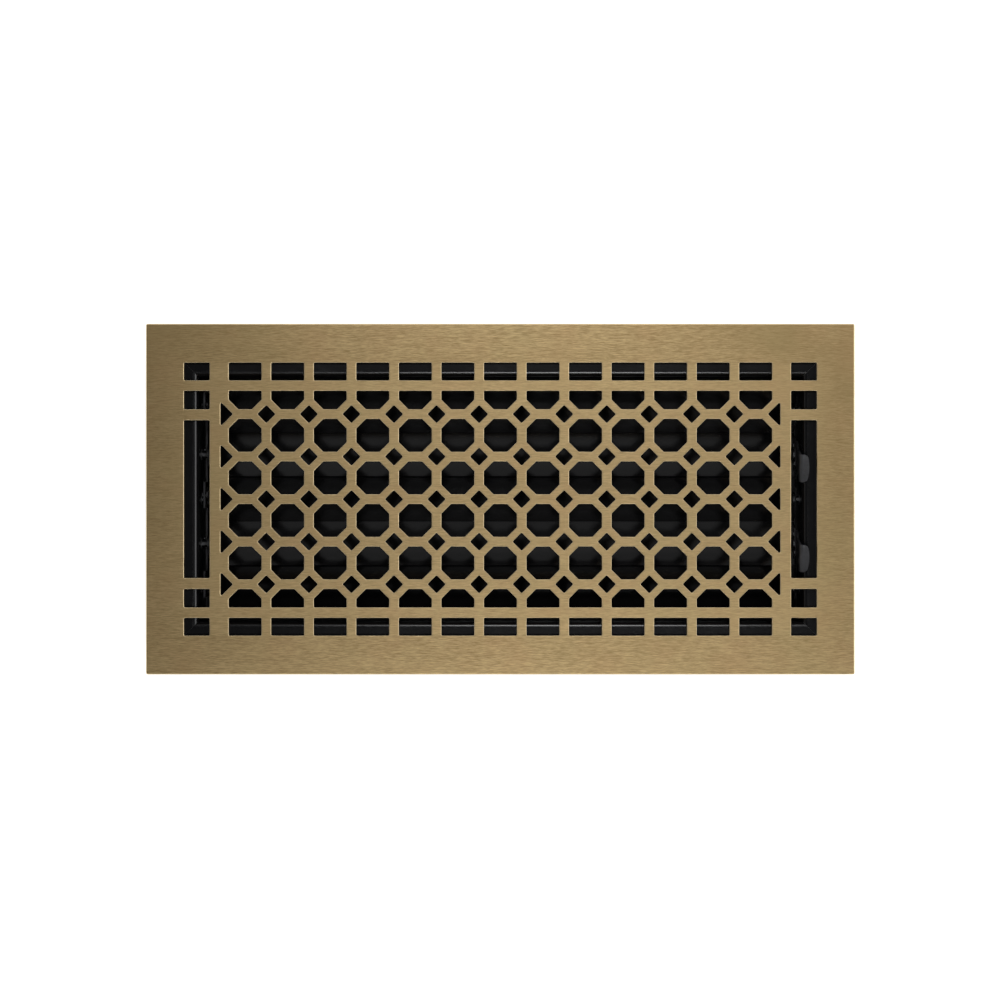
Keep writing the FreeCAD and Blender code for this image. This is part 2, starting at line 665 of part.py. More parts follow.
def drive_bar(doc):
    """Flat bar that joins the cranks: round holes for the even ones, ears with slots for the odd ones."""
    body = new_body(doc, "drive_bar")
    start = "-bar_inner - bar_sheet"
    numbers = blade_numbers(doc)
    held = [f"{pivot_line(n)} + swing_y" for n in numbers if opens_forward(n)]
    eared = [f"{pivot_line(n)} + swing_y" for n in numbers if not opens_forward(n)]
    strip = new_sketch(body, "YZ_Plane", start)
    rectangle(strip, f"{eared[-1]} - ear_half", f"{eared[0]} + ear_half", "-strip_low", "-strip_top")
    pad(body, strip, "bar_sheet")
    ears = new_sketch(body, "YZ_Plane", start)
    windows = new_sketch(body, "YZ_Plane")
    slots = new_sketch(body, "YZ_Plane")
    slot_top = "swing_z + 2 * swing_rise"
    for y in eared:
        rectangle(ears, f"{y} - ear_half", f"{y} + ear_half", "-strip_low", "ear_top")
        rectangle(windows, f"{y} - window_y", f"{y} + window_y",
                  "swing_rise / 2 - window_z", "swing_rise / 2 + window_z")
        rectangle(slots, f"{y} - crank_pin - run_gap", f"{y} + crank_pin + run_gap", "swing_z", slot_top)
    pad(body, ears, "bar_sheet")
    pocket(body, windows)
    pocket(body, slots)
    drill(body, "YZ_Plane", "0", None, "crank_pin + run_gap", [(y, "swing_z") for y in eared])
    drill(body, "YZ_Plane", "0", None, "crank_pin + run_gap", [(y, slot_top) for y in eared])
    drill(body, "YZ_Plane", "0", None, "crank_pin + run_gap", [(y, "-swing_z") for y in held])
    put(body, "0", "-pivot_drop")
    return body


# ---- thumb levers at the right end ----

def stud_places():
    """Lever rivets in the lever's own frame, which leans away from its louvre's."""
    turn = "(lever_lean + closed_angle)"
    return [
        (f"{y} * cos{turn} + stud_up * sin{turn}", f"stud_up * cos{turn} - ({y}) * sin{turn}")
        for y in both("stud_side")
    ]


def lever(doc, name):
    """Arm that stands up through the end slot, with a rounded tongue turned outwards."""
    body = new_body(doc, name)
    tongue = new_sketch(body, "XY_Plane", "lever_radius - lever_sheet")
    circle(tongue, "blade_right + tongue_reach - tongue_round", "0", "tongue_round")
    pad(body, tongue, "lever_sheet")
    trim = new_sketch(body, "XY_Plane")
    rectangle(trim, "blade_right - 3 * tongue_round", "blade_right + 3 * tongue_round",
              "-2 * tongue_round", "2 * tongue_round")
    rectangle(trim, "blade_right", "blade_right + tongue_round", "-tongue_half", "tongue_half")
    trimmed = pocket(body, trim)
    root = value_of(body, "blade_right + lever_sheet")
    round_edges(body, trimmed, "tongue_corner",
                lambda e: e.BoundBox.XMin > root and max(e.BoundBox.XLength, e.BoundBox.YLength) < 0.01)
    arm = new_sketch(body, "YZ_Plane", "blade_right")
    outline(arm, (
        ("-lever_neck", "0"),
        ("lever_neck", "0"),
        ("tongue_half", "lever_radius"),
        ("-tongue_half", "lever_radius"),
    ))
    pad(body, arm, "lever_sheet")
    discs(body, "YZ_Plane", "blade_right", "lever_sheet", "lever_base", [("0", "0")])
    drill(body, "YZ_Plane", "0", None, "pivot_radius + run_gap", [("0", "0")])
    drill(body, "YZ_Plane", "0", None, "stud_radius + run_gap", stud_places())
    put(body, pivot_line(LEVER_BLADES[name]), "-pivot_drop", "lever_lean", 1)
    return body


def lever_rivets(doc, name):
    """Two rivets through a lever and its louvre's turned-up end."""
    body = new_body(doc, name + "_rivets")
    centres = [(y, "stud_up") for y in both("stud_side")]
    inner = "blade_right - blade_sheet"
    discs(body, "YZ_Plane", inner, "blade_sheet + lever_sheet", "stud_radius", centres)
    discs(body, "YZ_Plane", f"{inner} - stud_rise", "stud_rise", "stud_head", centres)
    discs(body, "YZ_Plane", "blade_right + lever_sheet", "stud_rise", "stud_head", centres)
    put(body, pivot_line(LEVER_BLADES[name]), "-pivot_drop", "closed_angle", -1)
    return body


def model(doc):
    """Every sub-part, in the order it would come off a bench."""
    parts = [faceplate(doc)]
    parts += [side_wall(doc, "rear_side_wall", 1), side_wall(doc, "front_side_wall", -1)]
    parts += [end_wall(doc, "left_end_wall", -1), end_wall(doc, "right_end_wall", 1)]
    parts += [corner_rivets(doc), flange_screws(doc)]
    parts += [pivot_bushes(doc, "left_bushes", -1), pivot_bushes(doc, "right_bushes", 1)]
    for number in blade_numbers(doc):
        parts += [louvre(doc, number), pivot_pins(doc, number), crank(doc, number), crank_pin(doc, number)]
    parts.append(drive_bar(doc))
    for name in LEVER_BLADES:
        parts += [lever(doc, name), lever_rivets(doc, name)]
    return parts


def check(doc, parts):
    """Stop before anything is written if an object failed or a shape is unsound."""
    for item in doc.Objects:
        if "Invalid" in item.State or "Error" in item.State:
            raise RuntimeError(f"{item.Name} is {item.State}")
    for part in parts:
        if part.Shape.isNull() or not part.Shape.isValid():
            raise RuntimeError(f"{part.Label} has no sound shape")


def main():
    doc = FreeCAD.newDocument("FloorRegister")
    make_sheet(doc)
    parts = model(doc)
    doc.recompute()
    check(doc, parts)
    os.makedirs("parts", exist_ok=True)
    for part in parts:
        part.Shape.exportStep(os.path.join("parts", part.Label + ".step"))
        print(part.Label, len(part.Shape.Solids), round(part.Shape.Volume, 1))


main()
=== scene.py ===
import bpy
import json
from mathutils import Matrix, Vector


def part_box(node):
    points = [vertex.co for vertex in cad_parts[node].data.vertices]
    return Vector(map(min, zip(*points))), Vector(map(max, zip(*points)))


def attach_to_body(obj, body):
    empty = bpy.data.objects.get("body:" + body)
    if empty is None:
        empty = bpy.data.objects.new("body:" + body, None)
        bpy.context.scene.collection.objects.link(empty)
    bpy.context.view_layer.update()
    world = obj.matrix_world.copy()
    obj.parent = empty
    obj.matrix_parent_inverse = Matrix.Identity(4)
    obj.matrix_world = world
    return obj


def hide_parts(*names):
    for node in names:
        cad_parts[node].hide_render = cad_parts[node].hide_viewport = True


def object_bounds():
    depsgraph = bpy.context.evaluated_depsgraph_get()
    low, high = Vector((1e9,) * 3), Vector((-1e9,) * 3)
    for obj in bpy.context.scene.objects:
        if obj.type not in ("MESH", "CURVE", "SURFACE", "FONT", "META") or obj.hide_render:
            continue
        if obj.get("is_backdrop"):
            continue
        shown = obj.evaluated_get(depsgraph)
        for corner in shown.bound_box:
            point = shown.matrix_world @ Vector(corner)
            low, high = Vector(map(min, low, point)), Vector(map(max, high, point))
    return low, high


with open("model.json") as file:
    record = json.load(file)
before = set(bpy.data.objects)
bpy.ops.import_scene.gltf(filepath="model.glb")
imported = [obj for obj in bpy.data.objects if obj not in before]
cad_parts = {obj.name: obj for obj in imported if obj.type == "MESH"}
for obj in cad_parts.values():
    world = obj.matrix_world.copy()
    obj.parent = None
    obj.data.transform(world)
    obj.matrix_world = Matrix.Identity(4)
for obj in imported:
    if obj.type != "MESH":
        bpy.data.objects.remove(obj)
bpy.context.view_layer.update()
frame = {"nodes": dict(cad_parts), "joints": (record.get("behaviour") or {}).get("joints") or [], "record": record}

import json
import math

import bmesh
import bpy
from bpy.props import FloatProperty, FloatVectorProperty, IntProperty, PointerProperty
from mathutils import Matrix, Vector

bl_info = {
    "name": "Floor Register",
    "version": (1, 0, 0),
    "blender": (4, 5, 0),
    "location": "View3D > Sidebar > Register",
    "description": "Cast face, thumb levers, fasteners and finishes of a louvred floor register",
    "category": "Object",
}

MM = 0.001
UP = Vector((0, 0, 1))
FAR = 1.0                  # metres; further than anything on the part


# ---- node trees ----

class Flow:
    """A number running through a node tree; arithmetic on it adds Math nodes."""

    def __init__(self, graph, socket):
        self.graph = graph
        self.socket = socket

    def math(self, operation, *values):
        inputs = {f"in{n}": value for n, value in enumerate(values)}
        return self.graph.flow("ShaderNodeMath", {"operation": operation}, **inputs)

    def __add__(self, other):
        return self.math("ADD", self, other)

    def __radd__(self, other):
        return self.math("ADD", other, self)

    def __sub__(self, other):
        return self.math("SUBTRACT", self, other)

    def __rsub__(self, other):
        return self.math("SUBTRACT", other, self)

    def __mul__(self, other):
        return self.math("MULTIPLY", self, other)

    def __rmul__(self, other):
        return self.math("MULTIPLY", other, self)

    def __truediv__(self, other):
        return self.math("DIVIDE", self, other)

    def __rtruediv__(self, other):
        return self.math("DIVIDE", other, self)

    def __abs__(self):
        return self.math("ABSOLUTE", self)

    def least(self, other):
        return self.math("MINIMUM", self, other)

    def most(self, other):
        return self.math("MAXIMUM", self, other)


class Graph:
    """A node tree with one method for adding nodes."""

    def __init__(self, tree):
        self.tree = tree

    def feed(self, node, key, value):
        """Set or link one input, named with underscores for spaces or in0, in1 by its place."""
        place = int(key[2:]) if key[:2] == "in" and key[2:].isdigit() else key.replace("_", " ")
        socket = node.inputs[place]
        source = value.socket if isinstance(value, Flow) else value
        if isinstance(source, bpy.types.NodeSocket):
            self.tree.links.new(source, socket)
        else:
            socket.default_value = source

    def add(self, kind, settings=None, **inputs):
        """A new node with its settings set first, then the values or links of its inputs."""
        node = self.tree.nodes.new(kind)
        for name, value in (settings or {}).items():
            setattr(node, name, value)
        for key, value in inputs.items():
            self.feed(node, key, value)
        return node

    def flow(self, kind, settings=None, out=0, **inputs):
        return Flow(self, self.add(kind, settings, **inputs).outputs[out])


# ---- finishes ----

class Finish(Graph):
    """A material built on one principled shader."""

    def __init__(self, name, **constants):
        self.material = bpy.data.materials.new(name)
        self.material.use_nodes = True
        super().__init__(self.material.node_tree)
        self.shader = self.tree.nodes["Principled BSDF"]
        for key, value in constants.items():
            self.feed(self.shader, key, value)
        self.place = self.add("ShaderNodeTexCoord").outputs["Object"]

    def stretched(self, x, y, z):
        """Object coordinates scaled to cycles per metre along each axis."""
        return self.add("ShaderNodeMapping", in0=self.place, Scale=(x, y, z)).outputs[0]

    def noise(self, where, scale=1.0, detail=2.0, roughness=0.5):
        """Noise about 0.5; the scale is in cycles per metre."""
        return self.flow("ShaderNodeTexNoise", Vector=where, Scale=scale, Detail=detail, Roughness=roughness)

    def between(self, value, low, high):
        """The value's place between low and high, held to 0..1."""
        return self.flow("ShaderNodeMapRange", Value=value, From_Min=low, From_Max=high)

    def blend(self, amount, first, second):
        """Mix of two colours."""
        node = self.add("ShaderNodeMix", {"data_type": "RGBA"}, in0=amount, in6=first, in7=second)
        return node.outputs[2]

    def axes(self, vector):
        """The three numbers of a vector."""
        parts = self.add("ShaderNodeSeparateXYZ", Vector=vector)
        return [Flow(self, parts.outputs[name]) for name in "XYZ"]

    def bump(self, height, distance, strength=1.0, after=None):
        """A normal bent by a height of up to a distance in metres, on top of another bump."""
        node = self.add("ShaderNodeBump", Height=height, Distance=distance, Strength=strength)
        if after is not None:
            self.feed(node, "Normal", after)
        return node.outputs[0]

    def wear(self, **varying):
        """Feed what varies into the shader, and give the material."""
        for key, value in varying.items():
            self.feed(self.shader, key, value)
        return self.material


def colour(values):
    """A property's colour with full alpha."""
    return (*values, 1.0)


def shaded(values, share):
    """A property's colour made darker or lighter."""
    return colour([value * share for value in values])


def antique_brass(name, look):
    """Cast brass, brown with age and brushed along its length, with painted shade darkening both ends and the
    rear, and bright rubbed edges that are also a painted highlight.
    """
    mat = Finish(name, Metallic=1.0, Specular_IOR_Level=0.5)
    hair = mat.noise(mat.stretched(420, 5200, 300), detail=2.0, roughness=0.6)
    line = mat.noise(mat.stretched(190, 2600, 120), detail=2.0, roughness=0.6)
    drift = mat.noise(mat.stretched(12, 110, 30), detail=3.0, roughness=0.55)
    stain = mat.noise(mat.place, scale=15.0, detail=4.0, roughness=0.6)
    tint = mat.noise(mat.place, scale=42.0, detail=3.0, roughness=0.55)
    pits = mat.noise(mat.place, scale=900.0, detail=3.0, roughness=0.7)
    brushed = mat.between(hair * 0.35 + line * 0.55 + drift * 0.1, 0.38, 0.62)
    along, across, _ = mat.axes(mat.place)
    # Painted shade: darker and browner towards both ends and the rear, broken up by the stain noise; the bars of
    # the pierced field are made paler than the border.
    ends = mat.between(along.most(along * -0.85), 0.07, 0.19) * mat.between(across, -0.12, 0.09)
    ends = ends * mat.between(stain, 0.2, 0.6)
    field = mat.between(abs(across), 0.078, 0.074) * mat.between(abs(along), 0.19, 0.17)
    brass_colour = mat.blend(brushed, colour(look.brass_dark), colour(look.brass_light))
    # Painted shade blended over the ends and the rear.
    brass_colour = mat.blend(ends * 0.75, brass_colour, colour(look.brass_dark))
    brass_colour = mat.blend(field * 0.3, brass_colour, colour(look.brass_light))
    warm = mat.blend(mat.between(tint, 0.45, 0.75) * 0.3, brass_colour, colour(look.brass_red))
    olive = mat.blend(mat.between(stain, 0.5, 0.78) * 0.3, warm, colour(look.brass_olive))
    upward = mat.axes(mat.add("ShaderNodeNewGeometry").outputs["Normal"])[2]
    wall = 1.0 - mat.between(upward, 0.1, 0.45)
    # Edge wear that is partly a painted highlight: the crests of the rounded rims made pale and smoother.
    wear_and_highlight = mat.between(1.0 - upward, 0.01, 0.12) * (1.0 - wall)
    base = mat.blend(wear_and_highlight * 0.9, olive, colour(look.brass_worn))
    base = mat.blend(wall * 0.88, base, colour(look.brass_cast))
    rough = 0.42 - brushed * 0.05 + mat.between(stain, 0.4, 0.8) * 0.04 + wall * pits * 0.4 - wear_and_highlight * 0.1
    lines = mat.bump(hair * 0.5 + line * 0.5, 0.00004, 0.6)
    surface = mat.bump(pits * (wall + 0.06), 0.00009, 0.5, lines)
    return mat.wear(Base_Color=base, Roughness=rough, Normal=surface)


def black_paint(name, look, rough, peel):
    """Stoved black paint with orange peel and faint dust."""
    mat = Finish(name, Metallic=0.0, Specular_IOR_Level=0.5, Coat_Roughness=0.12)
    dust = mat.noise(mat.place, scale=160.0, detail=5.0, roughness=0.7)
    cloud = mat.noise(mat.place, scale=22.0, detail=3.0)
    skin = mat.noise(mat.place, scale=520.0, detail=2.0)
    film = mat.between(dust, 0.5, 0.85) * mat.between(cloud, 0.35, 0.7)
    base = mat.blend(film * 0.35, colour(look.black), colour(look.dust))
    uneven = rough + mat.between(cloud, 0.3, 0.7) * 0.03 + film * 0.08
    return mat.wear(Base_Color=base, Roughness=uneven, Normal=mat.bump(skin, peel, 0.5))


def lever_paint(name, look):
    """Dark grey paint, rubbed by thumbs."""
    mat = Finish(name, Metallic=0.15, Specular_IOR_Level=0.55)
    grain = mat.noise(mat.place, scale=750.0, detail=3.0, roughness=0.65)
    rubbed = mat.noise(mat.place, scale=120.0, detail=4.0, roughness=0.6)
    amount = mat.between(rubbed, 0.45, 0.75)
    pale = amount * 0.5 + mat.between(grain, 0.35, 0.65) * 0.4
    base = mat.blend(pale, colour(look.lever), shaded(look.lever, 2.4))
    rough = 0.42 - amount * 0.1 + mat.between(grain, 0.3, 0.7) * 0.08
    return mat.wear(Base_Color=base, Roughness=rough, Normal=mat.bump(grain, 0.00003, 0.6))


def zinc_plate(name, look):
    """Dull zinc plating with a faint crystal pattern."""
    mat = Finish(name, Metallic=1.0)
    crystal = mat.flow("ShaderNodeTexVoronoi", Vector=mat.place, Scale=420.0, out="Color")
    grey = mat.flow("ShaderNodeRGBToBW", Color=crystal)
    stain = mat.noise(mat.place, scale=90.0, detail=4.0)
    shade = mat.between(grey * 0.5 + stain * 0.5, 0.25, 0.75)
    base = mat.blend(shade, shaded(look.zinc, 0.62), colour(look.zinc))
    return mat.wear(Base_Color=base, Roughness=0.38 + shade * 0.16, Normal=mat.bump(stain, 0.00003, 0.4))


def plated_steel(name, look):
    """Turned or headed steel, dark plated."""
    mat = Finish(name, Metallic=1.0)
    ring = mat.noise(mat.stretched(2600, 500, 500), detail=2.0)
    stain = mat.noise(mat.place, scale=260.0, detail=4.0, roughness=0.6)
    shade = mat.between(stain, 0.3, 0.7)
    base = mat.blend(shade, shaded(look.steel, 0.55), colour(look.steel))
    return mat.wear(Base_Color=base, Roughness=0.3 + shade * 0.15, Normal=mat.bump(ring, 0.00002, 0.5))


def moulded_nylon(name, look):
    """Black nylon with the fine grain of its mould."""
    mat = Finish(name, Metallic=0.0, Specular_IOR_Level=0.4)
    grain = mat.noise(mat.place, scale=1500.0, detail=2.0)
    cloud = mat.noise(mat.place, scale=70.0, detail=3.0)
    base = mat.blend(mat.between(cloud, 0.3, 0.7), colour(look.nylon), shaded(look.nylon, 1.5))
    return mat.wear(Base_Color=base, Roughness=0.5 + grain * 0.15, Normal=mat.bump(grain, 0.00003, 0.5))


# A painted shadow under the plate: the floor is dark there and does not glow.
SHADE_FROM = 14.0 * MM     # the floor is dark this far inside the plate's edge, and further in
SHADE_TO = 4.0 * MM        # and fully pale from here outwards


def pale_floor(name, look):
    """Pale matt sweep that glows evenly, except for a painted shadow under the plate, where it is dark and does
    not glow.
    """
    mat = Finish(name, Roughness=0.9, Emission_Strength=look.floor_glow)
    mottle = mat.noise(mat.place, scale=3.0, detail=2.0)
    base = mat.blend(mat.between(mottle, 0.3, 0.7), (0.9, 0.9, 0.9, 1.0), (0.92, 0.92, 0.92, 1.0))
    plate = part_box("faceplate")[1]
    along, across, _ = mat.axes(mat.place)
    clear_of_painted_shadow = mat.between((abs(along) - plate[0]).most(abs(across) - plate[1]), -SHADE_FROM, -SHADE_TO)
    # Painted shadow: no glow and a dark colour under the plate.
    glow = mat.blend(clear_of_painted_shadow, (0.0, 0.0, 0.0, 1.0), (1.0, 1.0, 1.0, 1.0))
    return mat.wear(Base_Color=mat.blend(clear_of_painted_shadow, (0.1, 0.1, 0.1, 1.0), base), Emission_Color=glow)


# ---- mesh helpers ----

def new_object(name, mesh, body, replaced):
    """A finished piece at the origin, riding on its body in place of its CAD nodes."""
    piece = bpy.data.objects.new(name, mesh)
    bpy.context.scene.collection.objects.link(piece)
    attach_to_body(piece, body)
    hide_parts(*replaced)
    return piece


def made_plain(name, work):
    """The evaluated object as a plain mesh; the working object is removed."""
    graph = bpy.context.evaluated_depsgraph_get()
    mesh = bpy.data.meshes.new_from_object(work.evaluated_get(graph), depsgraph=graph)
    mesh.name = name
    old = work.data
    bpy.data.objects.remove(work)
    bpy.data.meshes.remove(old)
    return mesh


def working(name, mesh):
    """An unfinished object that only carries modifiers."""
    work = bpy.data.objects.new(name + "_work", mesh)
    bpy.context.scene.collection.objects.link(work)
    return work


def lathe(name, outline, steps=32):
    """A closed turned shape about Z from (radius, height) pairs that start and end on the axis."""
    shape = bmesh.new()
    rings = []
    for radius, height in outline:
        if radius == 0:
            rings.append([shape.verts.new((0, 0, height))] * steps)
        else:
            turns = [2 * math.pi * n / steps for n in range(steps)]
            rings.append([shape.verts.new((radius * math.cos(turn), radius * math.sin(turn), height))
                          for turn in turns])
    for low, high in zip(rings, rings[1:]):
        for n in range(steps):
            m = (n + 1) % steps
            corners = dict.fromkeys((low[n], low[m], high[m], high[n]))
            shape.faces.new(corners)
    bmesh.ops.recalc_face_normals(shape, faces=shape.faces)
    mesh = bpy.data.meshes.new(name)
    shape.to_mesh(mesh)
    shape.free()
    return mesh


def smooth(mesh, angle=35.0):
    """Smooth shading with sharp edges kept."""
    mesh.shade_smooth()
    mesh.set_sharp_from_angle(angle=math.radians(angle))


class Recipe(Graph):
    """A geometry tree with named inputs that ends in realized instances and a material."""

    def __init__(self, name, inputs):
        super().__init__(bpy.data.node_groups.new(name, "GeometryNodeTree"))
        face = self.tree.interface
        face.new_socket("Geometry", in_out="INPUT", socket_type="NodeSocketGeometry")
        face.new_socket("Geometry", in_out="OUTPUT", socket_type="NodeSocketGeometry")
        for label, kind in inputs.items():
            face.new_socket(label, in_out="INPUT", socket_type=kind)
        self.source = self.add("NodeGroupInput")

    def given(self, label):
        return Flow(self, self.source.outputs[label])

    def vector(self, x=0.0, y=0.0, z=0.0):
        return self.add("ShaderNodeCombineXYZ", X=x, Y=y, Z=z).outputs[0]

    def grid(self, columns, rows, length, width):
        """Points of a centred grid."""
        return self.add("GeometryNodeMeshGrid", Size_X=length, Size_Y=width,
                        Vertices_X=columns, Vertices_Y=rows).outputs[0]

    def move(self, geometry, offset):
        return self.add("GeometryNodeTransform", Geometry=geometry, Translation=offset).outputs[0]

    def copies(self, points, instance):
        node = self.add("GeometryNodeInstanceOnPoints", Points=points, Instance=instance)
        return self.add("GeometryNodeRealizeInstances", Geometry=node.outputs[0]).outputs[0]

    def joined(self, *geometry):
        node = self.add("GeometryNodeJoinGeometry")
        for part in geometry:
            self.tree.links.new(part, node.inputs[0])
        return node.outputs[0]

    def close(self, geometry, material):
        real = self.add("GeometryNodeRealizeInstances", Geometry=geometry).outputs[0]
        done = self.add("GeometryNodeSetMaterial", Geometry=real, Material=material).outputs[0]
        self.add("NodeGroupOutput", in0=done)
        return self.tree


def run_recipe(name, mesh, tree, values, finish_with=None):
    """Evaluate a geometry tree on a mesh and return the plain result."""
    work = working(name, mesh)
    modifier = work.modifiers.new(name, "NODES")
    modifier.node_group = tree
    for item in tree.interface.items_tree:
        if item.in_out == "INPUT" and item.name in values:
            modifier[item.identifier] = values[item.name]
    if finish_with:
        finish_with(work)
    return made_plain(name, work)


# ---- cast face ----

FACE_LENGTHS = (
    "Length", "Width", "Corner", "Height", "Hollow", "Rim", "Field X", "Field Y", "Cross Bar", "Diamond",
    "Over X", "Over Y", "Strip In", "Strip Out", "Slot In", "Slot Out", "Slot Half", "Pane In", "Nose",
)
FACE_INPUTS = {
    **dict.fromkeys(FACE_LENGTHS, "NodeSocketFloat"),
    **dict.fromkeys(("Columns", "Rows"), "NodeSocketInt"),
    "Edge Share": "NodeSocketFloat",
}
CORNER_POINTS = 3          # sides of a rounded corner in the face's outline and openings
BEVEL_STEPS = 4            # faces across a rounded rim
RIM_ZONE = 3.0 * MM        # how far in from the plate's edge the outer rim is looked for
SKIN = 0.05 * MM           # edges within this of the top belong to it
SHARP_EDGE = math.radians(50)
WELD = 0.01 * MM           # points closer than this are merged


def polygon(recipe, sides, radius, turn):
    """A flat polygon curve with its first corner turned."""
    ring = recipe.add("GeometryNodeCurvePrimitiveCircle", Resolution=sides, Radius=radius).outputs[0]
    return recipe.add("GeometryNodeTransform", Geometry=ring, Rotation=(0, 0, turn)).outputs[0]


def pane(recipe, length, width):
    """A flat rectangle curve."""
    return recipe.add("GeometryNodeCurvePrimitiveQuadrilateral", Width=length, Height=width).outputs[0]


def held(recipe, curves, axis, limit):
    """Curve points past a limit on either side are brought back to it."""
    spot = recipe.add("ShaderNodeSeparateXYZ", Vector=recipe.add("GeometryNodeInputPosition").outputs[0])
    place = {name: Flow(recipe, spot.outputs[name]) for name in "XYZ"}
    place[axis] = place[axis].least(limit).most(limit * -1.0)
    where = recipe.vector(place["X"], place["Y"], place["Z"])
    return recipe.add("GeometryNodeSetPosition", Geometry=curves, Position=where).outputs[0]


def octagon_openings(recipe):
    """The octagon grid; its outer rows are cut short to halves."""
    get = recipe.given
    pitch = get("Field X") * 2.0 / get("Columns")
    row = get("Field Y") * 2.0 / get("Rows")
    radius = (pitch - get("Cross Bar")) / (2.0 * math.cos(math.pi / 8))
    shape = polygon(recipe, 8, radius, math.pi / 8)
    points = recipe.grid(get("Columns"), get("Rows") + 1.0, pitch * (get("Columns") - 1.0), row * get("Rows"))
    return held(recipe, recipe.copies(points, shape), "Y", get("Field Y") + get("Over Y"))


def diamond_openings(recipe):
    """Diamonds between the octagons, and half ones at both ends of each row."""
    get = recipe.given
    pitch = get("Field X") * 2.0 / get("Columns")
    row = get("Field Y") * 2.0 / get("Rows")
    tall = row * (get("Rows") - 1.0)
    shape = polygon(recipe, 4, get("Diamond"), 0.0)
    between = recipe.grid(get("Columns") - 1.0, get("Rows"), pitch * (get("Columns") - 2.0), tall)
    limit = get("Field X") + get("Over X")
    wide = polygon(recipe, 4, get("Diamond") + get("Over X"), 0.0)
    ends = recipe.copies(recipe.grid(2, get("Rows"), limit * 2.0, tall), wide)
    return recipe.joined(recipe.copies(between, shape), held(recipe, ends, "X", limit))


def straight_openings(recipe):
    """Rectangles along both sides, and the end slots with their small neighbours."""
    get = recipe.given
    pitch = get("Field X") * 2.0 / get("Columns")
    strip = pane(recipe, pitch - get("Cross Bar"), get("Strip Out") - get("Strip In"))
    strips = recipe.copies(recipe.grid(get("Columns"), 2, pitch * (get("Columns") - 1.0),
                                       get("Strip In") + get("Strip Out")), strip)
    wide = get("Slot Out") - get("Slot In")
    apart = get("Slot In") + get("Slot Out")
    pane_out = get("Field Y") + get("Over Y")
    slots = recipe.copies(recipe.grid(2, 1, apart, 0.0), pane(recipe, wide, get("Slot Half") * 2.0))
    small = recipe.copies(recipe.grid(2, 2, apart, get("Pane In") + pane_out),
                          pane(recipe, wide, pane_out - get("Pane In")))
    corner = recipe.copies(recipe.grid(2, 2, apart, get("Strip In") + get("Strip Out")),
                           pane(recipe, wide, get("Strip Out") - get("Strip In")))
    return recipe.joined(strips, slots, small, corner)


def eased(recipe, curves, radius):
    """Curves with each corner turned into a few short sides."""
    return recipe.add("GeometryNodeFilletCurve", {"mode": "POLY"}, Curve=curves, Radius=radius,
                      Count=CORNER_POINTS, Limit_Radius=True).outputs[0]


def face_recipe(material):
    """Fill between the outline and the openings, raise it, hollow its underside, mark the edges to round."""
    recipe = Recipe("pierced_face", FACE_INPUTS)
    get = recipe.given
    openings = recipe.joined(octagon_openings(recipe), diamond_openings(recipe), straight_openings(recipe))
    outline = eased(recipe, pane(recipe, get("Length"), get("Width")), get("Corner"))
    curves = recipe.joined(outline, eased(recipe, openings, get("Nose")))
    sheet = recipe.add("GeometryNodeFillCurve", Curve=curves).outputs[0]
    raised = recipe.add("GeometryNodeExtrudeMesh", Mesh=sheet, Offset=recipe.vector(z=get("Height")),
                        Offset_Scale=1.0, Individual=False)
    below = recipe.add("GeometryNodeFlipFaces", Mesh=sheet).outputs[0]
    solid = recipe.add("GeometryNodeMergeByDistance", Geometry=recipe.joined(raised.outputs[0], below),
                       Distance=WELD).outputs[0]
    inside = recipe.vector(get("Length") - get("Rim") * 2.0, get("Width") - get("Rim") * 2.0,
                           get("Hollow") * 2.0)
    block = recipe.add("GeometryNodeMeshCube", Size=inside).outputs[0]
    cut = recipe.add("GeometryNodeMeshBoolean", {"operation": "DIFFERENCE", "solver": "EXACT"})
    recipe.tree.links.new(solid, cut.inputs[0])
    recipe.tree.links.new(block, cut.inputs[1])
    return recipe.close(marked(recipe, cut.outputs[0]), material)


def marked(recipe, geometry):
    """Bevel weights: full on the outer top edge, a share of it on the rims of the openings."""
    get = recipe.given
    spot = recipe.add("ShaderNodeSeparateXYZ", Vector=recipe.add("GeometryNodeInputPosition").outputs[0])
    x, y, z = (Flow(recipe, spot.outputs[name]) for name in "XYZ")
    top = z.math("GREATER_THAN", z, get("Height") - SKIN)
    slope = recipe.flow("GeometryNodeInputMeshEdgeAngle", out="Unsigned Angle")
    sharp = slope.math("GREATER_THAN", slope, SHARP_EDGE)
    beyond = (abs(x) - get("Length") * 0.5 + RIM_ZONE).most(abs(y) - get("Width") * 0.5 + RIM_ZONE)
    outer = beyond.math("GREATER_THAN", beyond, 0.0)
    weight = top * sharp * (outer + (1.0 - outer) * get("Edge Share"))
    store = recipe.add("GeometryNodeStoreNamedAttribute", {"data_type": "FLOAT", "domain": "EDGE"},
                       Geometry=geometry, Name="bevel_weight_edge", Value=weight)
    return store.outputs[0]


def rounded_by_weight(width):
    """A Bevel modifier that rounds the marked edges."""
    def attach(work):
        bevel = work.modifiers.new("rounding", "BEVEL")
        bevel.width = width
        bevel.segments = BEVEL_STEPS
        bevel.limit_method = "WEIGHT"
        bevel.use_clamp_overlap = False
        bevel.loop_slide = False
        bevel.harden_normals = True
    return attach


